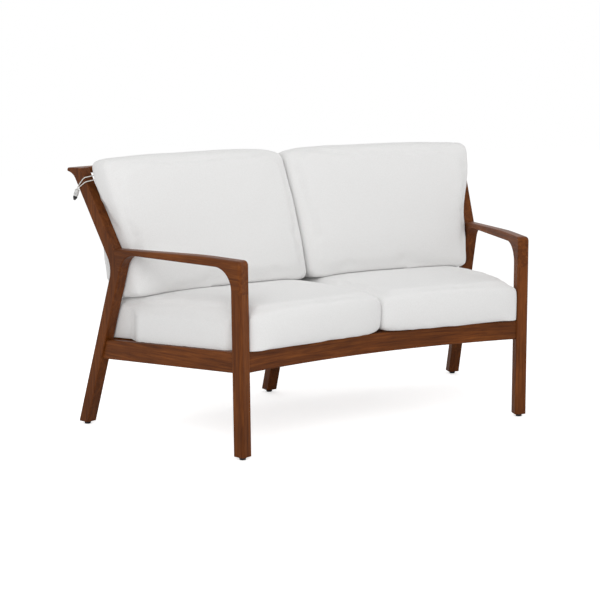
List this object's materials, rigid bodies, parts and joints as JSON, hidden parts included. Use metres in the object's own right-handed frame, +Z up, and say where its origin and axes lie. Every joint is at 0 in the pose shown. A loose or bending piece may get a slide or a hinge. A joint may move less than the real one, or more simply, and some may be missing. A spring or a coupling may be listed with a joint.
{
  "type": "curved loveseat",
  "caption": "Crescent outdoor-style loveseat: dark wooden frame with splayed sides, curved rails and slatted back, and loose pale seat and back cushions tied to the posts.",
  "frame": {"origin": "on the floor under the middle of the whole object's box", "axes": "+X to the sitter's left along the seat, +Y towards the back, +Z up; the front faces -Y"},
  "size_m": [1.6104, 0.8649, 0.91],
  "materials": {
    "frame_wood": "dark walnut stain under a satin lacquer",
    "hidden_wood": "walnut stain, thinly lacquered",
    "dowel_wood": "bare beech",
    "cushion_cloth": "off-white woven upholstery cloth",
    "cushion_filling": "foam in a fibre wrap",
    "tie_cord": "braided cord",
    "lock_body": "moulded, light grey white",
    "lock_button": "moulded, black",
    "spring_steel": "bright wire",
    "glide_foot": "black moulded",
    "zinc_steel": "zinc plated"
  },
  "bodies": {
    "frame": {"armrest_left": "frame_wood", "armrest_right": "frame_wood", "back_slat_1": "frame_wood", "back_slat_2": "frame_wood", "back_slat_3": "frame_wood", "back_slat_4": "frame_wood", "back_slat_5": "frame_wood", "back_slat_6": "frame_wood", "back_slat_7": "frame_wood", "back_slat_8": "frame_wood", "back_slat_screws": "zinc_steel", "centre_rail": "hidden_wood", "cord_lock_body_left": "lock_body", "cord_lock_body_right": "lock_body", "cord_lock_springs": "spring_steel", "corner_block_left": "hidden_wood", "corner_block_right": "hidden_wood", "crest_rail": "frame_wood", "frame_dowels": "dowel_wood", "frame_screws": "zinc_steel", "front_cleat": "hidden_wood", "front_leg_left": "frame_wood", "front_leg_right": "frame_wood", "front_rail": "frame_wood", "middle_rear_leg": "frame_wood", "rear_cleat": "hidden_wood", "rear_leg_left": "frame_wood", "rear_leg_right": "frame_wood", "rear_rail": "frame_wood", "seat_slat_1": "hidden_wood", "seat_slat_2": "hidden_wood", "seat_slat_3": "hidden_wood", "seat_slat_4": "hidden_wood", "seat_slat_5": "hidden_wood", "seat_slat_6": "hidden_wood", "seat_slat_7": "hidden_wood", "seat_slat_8": "hidden_wood", "seat_slat_9": "hidden_wood", "seat_slat_screws": "zinc_steel", "side_rail_left": "frame_wood", "side_rail_right": "frame_wood", "threaded_inserts": "zinc_steel", "tie_cord_left": "tie_cord", "tie_cord_right": "tie_cord"},
    "seat_cushion_left": {"seat_cushion_cover_left": "cushion_cloth", "seat_cushion_filling_left": "cushion_filling"},
    "back_cushion_left": {"back_cushion_cover_left": "cushion_cloth", "back_cushion_filling_left": "cushion_filling"},
    "lock_button_left": {"cord_lock_button_left": "lock_button"},
    "seat_cushion_right": {"seat_cushion_cover_right": "cushion_cloth", "seat_cushion_filling_right": "cushion_filling"},
    "back_cushion_right": {"back_cushion_cover_right": "cushion_cloth", "back_cushion_filling_right": "cushion_filling"},
    "lock_button_right": {"cord_lock_button_right": "lock_button"},
    "levelling_front_left": {"glide_front_left": "glide_foot"},
    "levelling_front_right": {"glide_front_right": "glide_foot"},
    "levelling_rear_left": {"glide_rear_left": "glide_foot"},
    "levelling_rear_right": {"glide_rear_right": "glide_foot"},
    "levelling_rear_middle": {"glide_rear_middle": "glide_foot"}
  },
  "joints": [
    {"name": "seat_cushion_left_lift", "type": "slide", "parent": "frame", "child": "seat_cushion_left", "axis": [0, 0, 1], "range_m": [0, 0.08]},
    {"name": "back_cushion_left_lift", "type": "slide", "parent": "seat_cushion_left", "child": "back_cushion_left", "axis": [0, 0, 1], "range_m": [0, 0.35]},
    {"name": "lock_button_left_press", "type": "slide", "parent": "frame", "child": "lock_button_left", "axis": [0.1286, -0.3959, 0.9092], "range_m": [0, 0.003], "stiffness_N_per_m": 1200, "springref_m": -0.003},
    {"name": "seat_cushion_right_lift", "type": "slide", "parent": "frame", "child": "seat_cushion_right", "axis": [0, 0, 1], "range_m": [0, 0.08]},
    {"name": "back_cushion_right_lift", "type": "slide", "parent": "seat_cushion_right", "child": "back_cushion_right", "axis": [0, 0, 1], "range_m": [0, 0.35]},
    {"name": "lock_button_right_press", "type": "slide", "parent": "frame", "child": "lock_button_right", "axis": [-0.1286, -0.3959, 0.9092], "range_m": [0, 0.003], "stiffness_N_per_m": 1200, "springref_m": -0.003},
    {"name": "levelling_front_left_screw", "type": "slide", "parent": "frame", "child": "levelling_front_left", "axis": [0, 0, -1], "range_m": [0, 0.008]},
    {"name": "levelling_front_right_screw", "type": "slide", "parent": "frame", "child": "levelling_front_right", "axis": [0, 0, -1], "range_m": [0, 0.008]},
    {"name": "levelling_rear_left_screw", "type": "slide", "parent": "frame", "child": "levelling_rear_left", "axis": [0, 0, -1], "range_m": [0, 0.008]},
    {"name": "levelling_rear_right_screw", "type": "slide", "parent": "frame", "child": "levelling_rear_right", "axis": [0, 0, -1], "range_m": [0, 0.008]},
    {"name": "levelling_rear_middle_screw", "type": "slide", "parent": "frame", "child": "levelling_rear_middle", "axis": [0, 0, -1], "range_m": [0, 0.008]}
  ]
}
